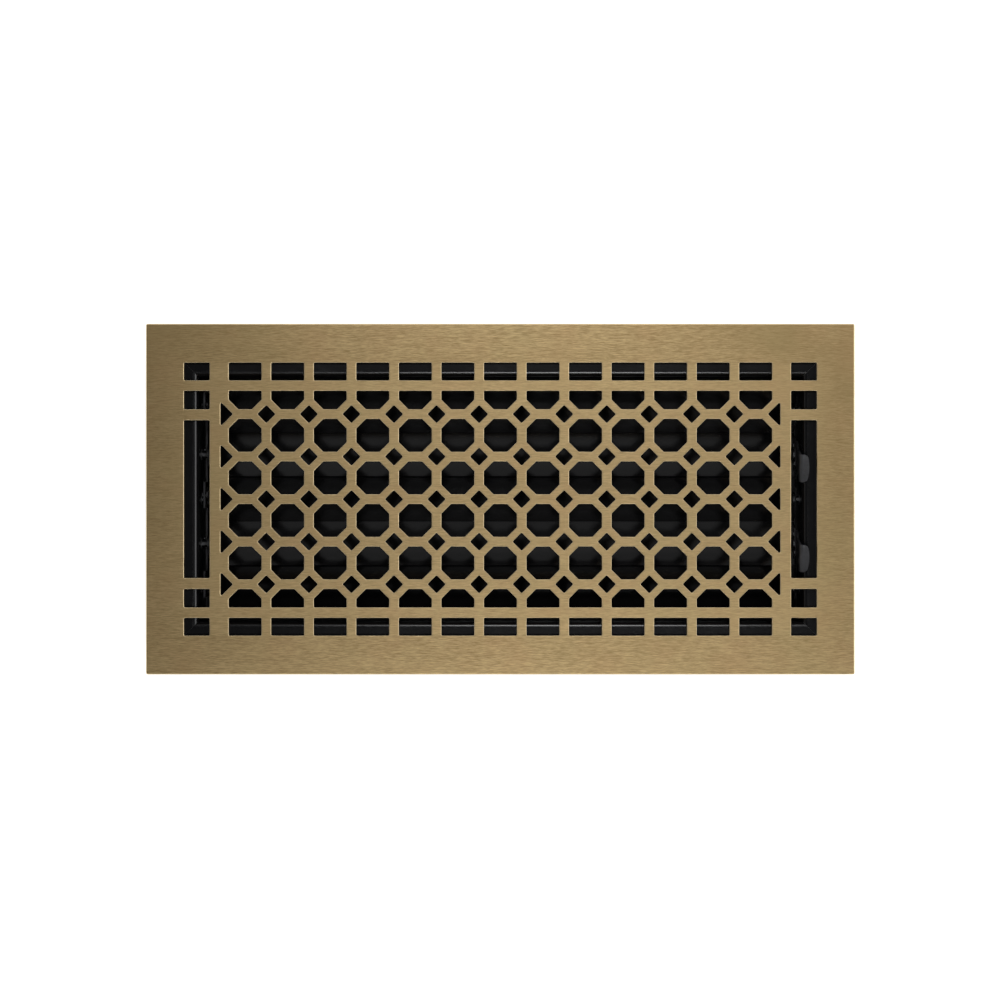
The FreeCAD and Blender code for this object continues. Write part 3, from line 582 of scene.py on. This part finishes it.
def cast_face(face, material):
    """The pierced plate with eased rims."""
    low, high = (Vector(corner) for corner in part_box("faceplate"))
    slot_out = high.x - face.end_border
    slot_in = slot_out - face.slot_width
    strip_out = high.y - face.side_border
    strip_in = strip_out - face.strip_depth
    values = {
        "Length": 2 * high.x,
        "Width": 2 * high.y,
        "Corner": face.corner,
        "Height": high.z - low.z,
        "Hollow": face.hollow,
        "Rim": face.rim,
        "Field X": slot_in - face.end_bar,
        "Field Y": strip_in - face.side_bar,
        "Columns": face.columns,
        "Rows": face.rows,
        "Cross Bar": face.cross_bar,
        "Diamond": face.diamond,
        "Over Y": face.half_over,
        "Over X": face.triangle_over,
        "Strip In": strip_in,
        "Strip Out": strip_out,
        "Slot In": slot_in,
        "Slot Out": slot_out,
        "Slot Half": face.slot_half,
        "Pane In": face.slot_half + face.slot_bar,
        "Nose": face.nose,
        "Edge Share": face.rim_round / face.edge_round,
    }
    blank = bpy.data.meshes.new("blank")
    mesh = run_recipe("cast_face", blank, face_recipe(material), values, rounded_by_weight(face.edge_round))
    mesh.transform(Matrix.Translation(UP * low.z))
    return new_object("cast_face", mesh, "housing", ["faceplate"])


# ---- thumb levers ----

ARM_STEPS = 26             # rows of faces up the arm
BEND_STEPS = 8             # rows round the bend, and again out along the tongue
ACROSS_STEPS = 20          # faces across the sheet
LEAST_HALF = 0.4 * MM      # narrowest half width, at the foot
FOOT_CUT = 0.05 * MM       # flat at the very foot of the round base
CROWN_POWER = 6            # the crown grows towards the top with this power
EASING_STEPS = 3           # faces across an eased edge
EASED_ANGLE = math.radians(60)


def arm_half_width(height, lever):
    """Half width of the arm at a height above the pivot, round the pivot or up the taper."""
    base = math.sqrt(max(lever.base ** 2 - height ** 2, 0.0))
    taper = lever.neck + (lever.tongue - lever.neck) * height / lever.height
    return max(base, taper if height > 0 else 0.0, LEAST_HALF)


def tongue_end(across, lever):
    """How far the tongue reaches out at a distance from its middle."""
    bow = (lever.tongue ** 2 + lever.bow ** 2) / (2 * lever.bow)
    end = lever.reach - bow + math.sqrt(bow ** 2 - across ** 2)
    past = max(abs(across) - (lever.tongue - lever.corner), 0.0)
    return end - lever.corner + math.sqrt(lever.corner ** 2 - min(past, lever.corner) ** 2)


def lever_rows(lever, across):
    """Rows of points over the middle of the bent sheet, from its foot to the tongue's end."""
    middle = lever.sheet / 2
    top = lever.height - middle
    foot = -lever.base + FOOT_CUT
    shares = [2 * n / across - 1 for n in range(across + 1)]
    rows = []
    for n in range(ARM_STEPS + 1):
        up = foot + (top - lever.bend - foot) * n / ARM_STEPS
        half = arm_half_width(up, lever)
        rows.append([(middle, half * share, up) for share in shares])
    for n in range(1, BEND_STEPS):
        turn = math.pi / 2 * n / BEND_STEPS
        place = (middle + lever.bend * (1 - math.cos(turn)), top - lever.bend + lever.bend * math.sin(turn))
        rows.append([(place[0], lever.tongue * share, place[1]) for share in shares])
    start = middle + lever.bend
    for n in range(BEND_STEPS + 1):
        ends = [start + (tongue_end(lever.tongue * share, lever) - start) * n / BEND_STEPS
                for share in shares]
        rows.append([(end, lever.tongue * share, top) for end, share in zip(ends, shares)])
    return rows


def crowned(point, lever):
    """The point lowered a little towards the tongue's two sides."""
    out, across, up = point
    share = max(up / lever.height, 0.0) ** CROWN_POWER
    return Vector((out, across, up - lever.crown * share * (across / lever.tongue) ** 2))


def lever_mesh(name, lever):
    """A bent sheet with an even thickness and eased edges."""
    shape = bmesh.new()
    rows = [[shape.verts.new(crowned(point, lever)) for point in row]
            for row in lever_rows(lever, ACROSS_STEPS)]
    for low, high in zip(rows, rows[1:]):
        for n in range(ACROSS_STEPS):
            shape.faces.new((low[n], low[n + 1], high[n + 1], high[n]))
    bmesh.ops.recalc_face_normals(shape, faces=shape.faces)
    mesh = bpy.data.meshes.new(name)
    shape.to_mesh(mesh)
    shape.free()
    work = working(name, mesh)
    sheet = work.modifiers.new("sheet", "SOLIDIFY")
    sheet.thickness = lever.sheet
    sheet.offset = 0.0
    easing = work.modifiers.new("easing", "BEVEL")
    easing.width = lever.easing
    easing.segments = EASING_STEPS
    easing.limit_method = "ANGLE"
    easing.angle_limit = EASED_ANGLE
    return made_plain(name, work)


def thumb_lever(name, node, joint_name, lever, material):
    """One lever stood on its louvre's pivot, leaning as the louvre is closed."""
    joint = next(j for j in frame["joints"] if j["name"] == joint_name)
    inner_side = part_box(node)[0][0]
    mesh = lever_mesh(name, lever)
    spot = Vector((inner_side, joint["pos_m"][1], joint["pos_m"][2]))
    mesh.transform(Matrix.Translation(spot) @ Matrix.Rotation(lever.lean, 4, "X"))
    smooth(mesh, angle=40.0)
    mesh.materials.append(material)
    return new_object(name, mesh, joint["child"], [node])


# ---- fasteners ----

DOME_STEPS = 5             # rings from the crown of a rivet's head to its rim
PAN_HEAD = ((0.72, 1.0), (0.93, 0.86), (1.0, 0.55))    # shares of a screw head's radius and height
RECESS_SPAN = 1.15         # crossed recess across, of the head's radius
RECESS_BAR = 0.24          # width of its arms, of its span


def rivet_profile(sizes, half):
    """Shank with a domed head at each end; half is from the middle to a dome's crown."""
    lip = half - sizes.rivet_rise
    turns = [math.pi / 2 * n / DOME_STEPS for n in range(1, DOME_STEPS + 1)]
    dome = [(sizes.rivet_head * math.sin(turn), half - sizes.rivet_rise * (1 - math.cos(turn)))
            for turn in turns]
    upper = [(0, half), *dome, (sizes.rivet_shank, lip)]
    return upper + [(radius, -height) for radius, height in reversed(upper)]


def corner_rivets(sizes, material):
    """Eight rivets through the corner tabs, set on the corners of a block."""
    low, high = (Vector(corner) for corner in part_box("corner_rivets"))
    half = sizes.rivet_grip + sizes.rivet_rise
    head = sizes.rivet_head
    recipe = Recipe("block_of_rivets", {"Block": "NodeSocketVector"})
    block = recipe.add("GeometryNodeMeshCube", Size=recipe.source.outputs["Block"]).outputs[0]
    rivets = recipe.copies(block, recipe.source.outputs["Geometry"])
    tree = recipe.close(rivets, material)
    profile = lathe("rivet", rivet_profile(sizes, half))
    profile.transform(Matrix.Rotation(math.pi / 2, 4, "X"))
    block_size = Vector((high.x - low.x - 2 * head, high.y - low.y - 2 * half, high.z - low.z - 2 * head))
    mesh = run_recipe("corner_rivet_set", profile, tree, {"Block": block_size})
    mesh.transform(Matrix.Translation(UP * (low.z + high.z) / 2))
    smooth(mesh)
    return new_object("corner_rivet_set", mesh, "housing", ["corner_rivets"])


def screw_profile(sizes, rise, bite):
    """Low pan head, crown down, on a plain shank."""
    head = sizes.screw_head
    crown = [(head * out, -rise * up) for out, up in PAN_HEAD]
    return [(0, -rise), *crown, (head, 0.0), (sizes.screw_shank, 0.0), (sizes.screw_shank, bite), (0, bite)]


def flange_screws(sizes, material):
    """Eight low screws with crossed recesses, up through the flanges."""
    low, high = (Vector(corner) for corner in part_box("flange_screws"))
    rise = sizes.screw_rise
    head = sizes.screw_head
    recipe = Recipe("screws_round_a_flange", {
        "End X": "NodeSocketFloat", "End Y": "NodeSocketFloat",
        "Side X": "NodeSocketFloat", "Side Y": "NodeSocketFloat",
        "Recess": "NodeSocketFloat", "Depth": "NodeSocketFloat",
    })
    get = recipe.given
    arm = get("Recess")
    slots = [recipe.add("GeometryNodeMeshCube", Size=recipe.vector(a, b, get("Depth"))).outputs[0]
             for a, b in ((arm, arm * RECESS_BAR), (arm * RECESS_BAR, arm))]
    cross = [recipe.move(slot, (0, 0, -rise)) for slot in slots]
    cut = recipe.add("GeometryNodeMeshBoolean", {"operation": "DIFFERENCE", "solver": "EXACT"})
    recipe.tree.links.new(recipe.source.outputs["Geometry"], cut.inputs[0])
    for part in cross:
        recipe.tree.links.new(part, cut.inputs[1])
    ends = recipe.grid(2, 2, get("End X") * 2.0, get("End Y") * 2.0)
    sides = recipe.grid(2, 2, get("Side X") * 2.0, get("Side Y") * 2.0)
    tree = recipe.close(recipe.copies(recipe.joined(ends, sides), cut.outputs[0]), material)
    profile = lathe("screw", screw_profile(sizes, rise, high.z - low.z - rise))
    values = {
        "End X": high.x - head, "End Y": sizes.screw_end_y,
        "Side X": sizes.screw_side_x, "Side Y": high.y - head,
        "Recess": head * RECESS_SPAN, "Depth": rise,
    }
    mesh = run_recipe("flange_screw_set", profile, tree, values)
    mesh.transform(Matrix.Translation(UP * (low.z + rise)))
    smooth(mesh)
    return new_object("flange_screw_set", mesh, "housing", ["flange_screws"])


# ---- stage ----

FLOOR_REACH = 6.0          # metres from the middle to the floor's edge
FLOOR_GAP = 0.5 * MM       # between the box and the floor
SENSOR = 36.0              # millimetres, like the lens
FAR_CLIP = 50.0            # metres
LOW_SKY = 0.05             # upward part of a direction at and below which the sky is the horizon's
HIGH_SKY = 0.8             # and above which it is the zenith's


def soft_light(name, spot, aim, extent, power):
    """A rectangular soft box aimed at a point."""
    data = bpy.data.lights.new(name, "AREA")
    data.shape = "RECTANGLE"
    data.size, data.size_y = extent
    data.energy = power
    lamp = bpy.data.objects.new(name, data)
    lamp.location = spot
    lamp.rotation_euler = (Vector(spot) - Vector(aim)).to_track_quat("Z", "Y").to_euler()
    bpy.context.scene.collection.objects.link(lamp)


def floor_under(material):
    """A wide pale floor just under the damper box."""
    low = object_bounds()[0]
    corners = [(-FLOOR_REACH, -FLOOR_REACH), (FLOOR_REACH, -FLOOR_REACH),
               (FLOOR_REACH, FLOOR_REACH), (-FLOOR_REACH, FLOOR_REACH)]
    mesh = bpy.data.meshes.new("floor")
    mesh.from_pydata([(x, y, low[2] - FLOOR_GAP) for x, y in corners], [], [(0, 1, 2, 3)])
    mesh.materials.append(material)
    floor = bpy.data.objects.new("floor", mesh)
    bpy.context.scene.collection.objects.link(floor)
    floor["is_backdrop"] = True


def camera_above(stage):
    """A long lens straight above the face."""
    data = bpy.data.cameras.new("camera")
    data.lens = stage.lens
    data.sensor_width = SENSOR
    data.clip_end = FAR_CLIP
    camera = bpy.data.objects.new("camera", data)
    distance = stage.frame_width * stage.lens / SENSOR
    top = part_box("faceplate")[1][2]
    camera.location = (stage.aim_x, stage.aim_y, top + distance)
    bpy.context.scene.collection.objects.link(camera)
    bpy.context.scene.camera = camera


def room_light(zenith, horizon):
    """Dark straight above the face, pale towards the horizon."""
    world = bpy.data.worlds.new("room")
    world.use_nodes = True
    sky = Graph(world.node_tree)
    parts = sky.add("ShaderNodeSeparateXYZ", Vector=sky.add("ShaderNodeTexCoord").outputs["Object"])
    level = sky.flow("ShaderNodeMapRange", Value=parts.outputs["Z"], From_Min=LOW_SKY, From_Max=HIGH_SKY,
                     To_Min=horizon, To_Max=zenith)
    sky.feed(world.node_tree.nodes["Background"], "Strength", level)
    sky.feed(world.node_tree.nodes["Background"], "Color", (1.0, 1.0, 1.0, 1.0))
    bpy.context.scene.world = world


# ---- add-on ----

def size(label, about, millimetres, least=0.0):
    """A length whose default is given in millimetres."""
    return FloatProperty(name=label, description=about, default=millimetres * MM, min=least, unit="LENGTH")


def tone(label, about, value):
    """A colour in linear light."""
    return FloatVectorProperty(name=label, description=about, default=value, size=3, subtype="COLOR",
                               min=0.0, max=1.0)


class FaceSizes(bpy.types.PropertyGroup):
    """Sizes of the cast face."""
    columns: IntProperty(name="Columns", description="Octagon columns", default=13, min=2)
    rows: IntProperty(name="Rows", description="Octagon rows, half rows together as one", default=5, min=2)
    end_border: size("End Border", "Plain border at each end", 21.5)
    side_border: size("Side Border", "Plain border at each side", 22.0)
    slot_width: size("Slot Width", "Width of the end slots", 14.5)
    end_bar: size("End Bar", "From the end slots to the octagon field", 8.0)
    side_bar: size("Side Bar", "From the rectangles to the octagon field", 7.0)
    strip_depth: size("Strip Depth", "Depth of the rectangles along each side", 10.0)
    cross_bar: size("Cross Bar", "Bar between two octagons", 5.5)
    diamond: size("Diamond", "Half diagonal of a diamond", 5.1)
    half_over: size("Half Octagon", "Half octagon past its row line", 1.1)
    triangle_over: size("Triangle", "Triangle past its column line", 1.9)
    slot_half: size("Slot Half", "Half length of the end slots", 44.5)
    slot_bar: size("Slot Bar", "Bar between an end slot and the next opening", 6.2)
    corner: size("Corner", "Corner radius of the plate", 1.0)
    nose: size("Opening Corner", "Corner radius of an opening", 0.6)
    rim: size("Rim", "Width of the seat ring", 8.0)
    hollow: size("Hollow", "Depth of the hollow underside", 2.3)
    edge_round: size("Edge Round", "Rounding of the outer top edge", 0.8)
    rim_round: size("Rim Round", "Rounding of the openings' top edges", 0.4)


class LeverSizes(bpy.types.PropertyGroup):
    """Sizes of a thumb lever."""
    sheet: size("Sheet", "Thickness", 1.2)
    height: size("Height", "Pivot to the top of the tongue", 22.9)
    base: size("Base", "Radius round the pivot", 8.0)
    neck: size("Neck", "Half width at the base of the arm", 4.6)
    tongue: size("Tongue", "Half width of the tongue", 8.2)
    reach: size("Reach", "How far the tongue turns outwards", 5.6)
    bow: size("Bow", "Curve of the tongue's outer edge", 1.2)
    corner: size("Corner", "Corner radius of the tongue", 1.8)
    bend: size("Bend", "Radius of the bend to the tongue", 1.5)
    crown: size("Crown", "Fall of the tongue towards its two sides", 0.45)
    easing: size("Easing", "Rounding of the sheet's edges", 0.32)
    lean: FloatProperty(name="Lean", description="Lean when closed", default=math.radians(21.5),
                        subtype="ANGLE")


class FastenerSizes(bpy.types.PropertyGroup):
    """Sizes of rivets and screws."""
    rivet_shank: size("Rivet Shank", "Shank radius", 1.5)
    rivet_head: size("Rivet Head", "Head radius", 2.3)
    rivet_rise: size("Rivet Rise", "Head height", 0.7)
    rivet_grip: size("Rivet Grip", "Half of the sheet held between the heads", 0.95)
    screw_shank: size("Screw Shank", "Shank radius", 1.45)
    screw_head: size("Screw Head", "Head radius", 3.0)
    screw_rise: size("Screw Rise", "Head height", 1.1)
    screw_end_y: size("End Screws", "End screws from the middle", 39.85)
    screw_side_x: size("Side Screws", "Side screws from the middle", 111.45)


class Finishes(bpy.types.PropertyGroup):
    """Colours of the finishes."""
    brass_light: tone("Brass", "Brushed high parts", (0.60, 0.443, 0.226))
    # Also the colour of the painted shade towards the ends and the rear.
    brass_dark: tone("Aged Brass", "Between the brush lines", (0.30, 0.208, 0.094))
    brass_red: tone("Warm Brass", "Reddish mottling", (0.48, 0.30, 0.15))
    brass_olive: tone("Olive Brass", "Greenish mottling", (0.36, 0.30, 0.14))
    # Also the colour of the painted highlight on the rims' crests.
    brass_worn: tone("Worn Brass", "Edges rubbed bright", (0.9, 0.74, 0.46))
    brass_cast: tone("Cast Brass", "Unbrushed walls and underside", (0.085, 0.055, 0.026))
    black: tone("Black Paint", "Box and louvres", (0.0032, 0.0032, 0.0037))
    dust: tone("Dust", "Dust on the paint", (0.009, 0.009, 0.009))
    lever: tone("Lever Paint", "Thumb levers", (0.017, 0.017, 0.019))
    zinc: tone("Zinc", "Cranks and drive bar", (0.06, 0.06, 0.062))
    steel: tone("Steel", "Pins and screws", (0.06, 0.06, 0.062))
    nylon: tone("Nylon", "Bushes", (0.02, 0.02, 0.021))
    floor_glow: FloatProperty(name="Floor Glow", description="Strength of the floor's light",
                              default=0.8, min=0.0)


class StageSizes(bpy.types.PropertyGroup):
    """Camera and lights."""
    lens: FloatProperty(name="Lens", description="Focal length", default=100.0, min=1.0, unit="CAMERA")
    frame_width: size("Frame Width", "What the picture spans at the face", 564.0)
    aim_x: size("Aim X", "Camera to the right of the middle", -0.2, least=-FAR)
    aim_y: size("Aim Y", "Camera to the rear of the middle", -0.48, least=-FAR)


# Soft boxes: (name, place, size, watts). Two banks stand clear of the line straight above the face.
LIGHTS = (
    ("rear_bank", (0.08, 0.60, 1.45), (0.30, 0.40), 4.1),
    ("front_bank", (0.08, -0.60, 1.45), (0.30, 0.40), 4.2),
    ("rear_low", (0.10, 1.20, 1.30), (1.20, 0.40), 0.4),
    ("side", (1.10, 0.15, 0.95), (0.90, 0.90), 6.0),
)


def finish_named(name):
    """The finish of a material slot, made once."""
    look = bpy.context.scene.register_finishes
    makers = {
        "brass_face": lambda: antique_brass(name, look),
        "black_box": lambda: black_paint(name, look, rough=0.2, peel=0.04 * MM),
        "black_blade": lambda: black_paint(name, look, rough=0.15, peel=0.03 * MM),
        "dark_lever": lambda: lever_paint(name, look),
        "zinc": lambda: zinc_plate(name, look),
        "steel": lambda: plated_steel(name, look),
        "nylon": lambda: moulded_nylon(name, look),
        "floor": lambda: pale_floor(name, look),
    }
    full = "finish_" + name
    if full not in bpy.data.materials:
        makers[name]().name = full
    return bpy.data.materials[full]


class RegisterFace(bpy.types.Operator):
    """Build the pierced cast face"""
    bl_idname = "register.face"
    bl_label = "Cast Face"

    def execute(self, context):
        cast_face(context.scene.register_face, finish_named("brass_face"))
        return {"FINISHED"}


class RegisterLevers(bpy.types.Operator):
    """Build both thumb levers"""
    bl_idname = "register.levers"
    bl_label = "Thumb Levers"

    def execute(self, context):
        for side, joint in (("rear", "louvre_2_pivot"), ("front", "louvre_4_pivot")):
            thumb_lever(f"{side}_thumb_lever", f"{side}_lever", joint, context.scene.register_lever,
                        finish_named("dark_lever"))
        return {"FINISHED"}


class RegisterFasteners(bpy.types.Operator):
    """Build the corner rivets and the flange screws"""
    bl_idname = "register.fasteners"
    bl_label = "Fasteners"

    def execute(self, context):
        sizes = context.scene.register_fasteners
        corner_rivets(sizes, finish_named("black_box"))
        flange_screws(sizes, finish_named("steel"))
        return {"FINISHED"}


class RegisterFinishes(bpy.types.Operator):
    """Give every frame part its finish"""
    bl_idname = "register.finishes"
    bl_label = "Finishes"

    def execute(self, context):
        slots = {row["node"]: row["material_slot"] for row in frame["record"]["subparts"]}
        for name, part in frame["nodes"].items():
            part.data.materials.clear()
            part.data.materials.append(finish_named(slots[name]))
        return {"FINISHED"}


class RegisterStage(bpy.types.Operator):
    """Set the floor, the lights and the camera"""
    bl_idname = "register.stage"
    bl_label = "Stage"

    def execute(self, context):
        floor_under(finish_named("floor"))
        room_light(zenith=0.01, horizon=1.0)
        for name, spot, extent, power in LIGHTS:
            soft_light(name, spot, (0.0, 0.0, 0.0), extent, power)
        camera_above(context.scene.register_stage)
        context.scene.view_settings.view_transform = "Standard"
        return {"FINISHED"}


class RegisterPanel(bpy.types.Panel):
    """Steps in the order they are made"""
    bl_idname = "VIEW3D_PT_register"
    bl_label = "Floor Register"
    bl_space_type = "VIEW_3D"
    bl_region_type = "UI"
    bl_category = "Register"

    def draw(self, context):
        for step in STEPS:
            self.layout.operator(step.bl_idname)


STEPS = (RegisterFinishes, RegisterFace, RegisterLevers, RegisterFasteners, RegisterStage)
GROUPS = {
    "register_face": FaceSizes,
    "register_lever": LeverSizes,
    "register_fasteners": FastenerSizes,
    "register_finishes": Finishes,
    "register_stage": StageSizes,
}


def register():
    for cls in (*GROUPS.values(), *STEPS, RegisterPanel):
        bpy.utils.register_class(cls)
    for name, cls in GROUPS.items():
        setattr(bpy.types.Scene, name, PointerProperty(type=cls))


def unregister():
    for name in GROUPS:
        delattr(bpy.types.Scene, name)
    for cls in (RegisterPanel, *reversed(STEPS), *GROUPS.values()):
        bpy.utils.unregister_class(cls)


def main():
    register()
    bpy.ops.register.finishes()
    bpy.ops.register.face()
    bpy.ops.register.levers()
    bpy.ops.register.fasteners()
    bpy.ops.register.stage()


if __name__ == "__main__":
    main()
